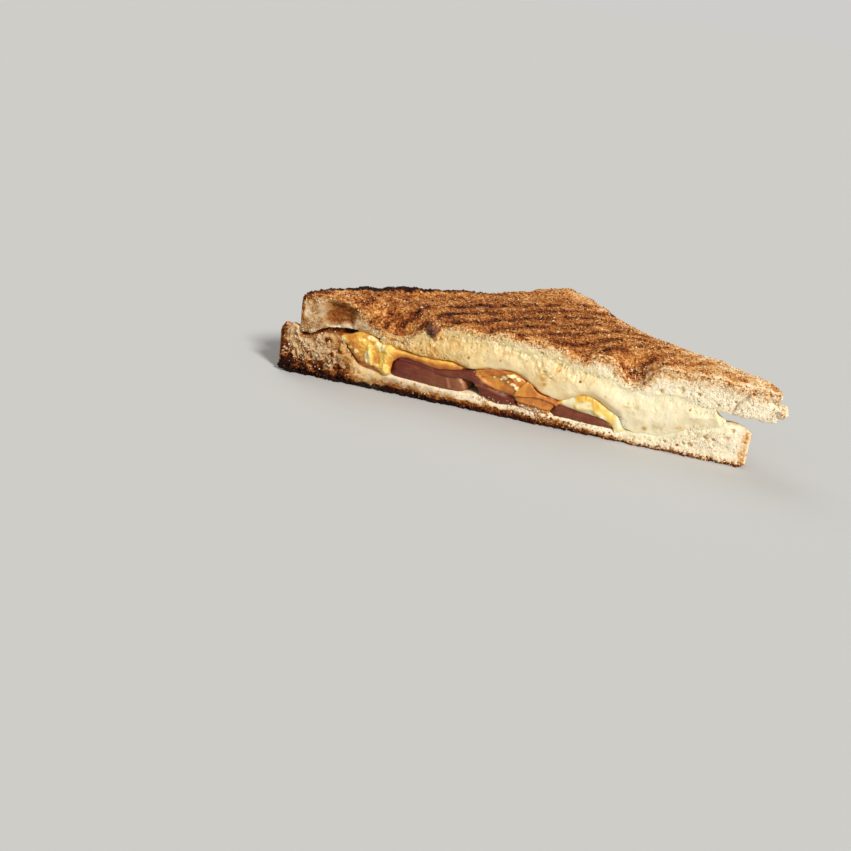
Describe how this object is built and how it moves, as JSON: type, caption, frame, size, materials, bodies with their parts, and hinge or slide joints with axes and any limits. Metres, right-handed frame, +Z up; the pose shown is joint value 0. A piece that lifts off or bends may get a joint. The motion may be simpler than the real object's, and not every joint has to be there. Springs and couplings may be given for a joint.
{
  "type": "grilled cheese sandwich half",
  "caption": "Triangular half of a toasted sandwich, cut corner to corner, with melted white and orange cheese and smoked sausage between slices of tin bread",
  "frame": {"origin": "on the surface the sandwich lies on, under the middle of its box", "axes": "+X along the cut edge, with the filled cut face looking towards -Y, +Y towards the right-angled corner, +Z up"},
  "size_m": [0.1692, 0.0808, 0.0297],
  "materials": {
    "toasted_bread": "dry porous crumb, browned and scorched on the pressed face in raised stripes",
    "orange_cheese": "melted, folded and half clear, oily",
    "white_cheese": "melted, smooth and oily, with brown specks",
    "smoked_sausage": "moist cut meat, dark at the rim"
  },
  "bodies": {
    "root": {"bread_lower": "toasted_bread", "bread_upper": "toasted_bread", "cheese_orange": "orange_cheese", "cheese_white": "white_cheese", "sausage_left": "smoked_sausage", "sausage_middle": "smoked_sausage", "sausage_right": "smoked_sausage"}
  },
  "joints": []
}
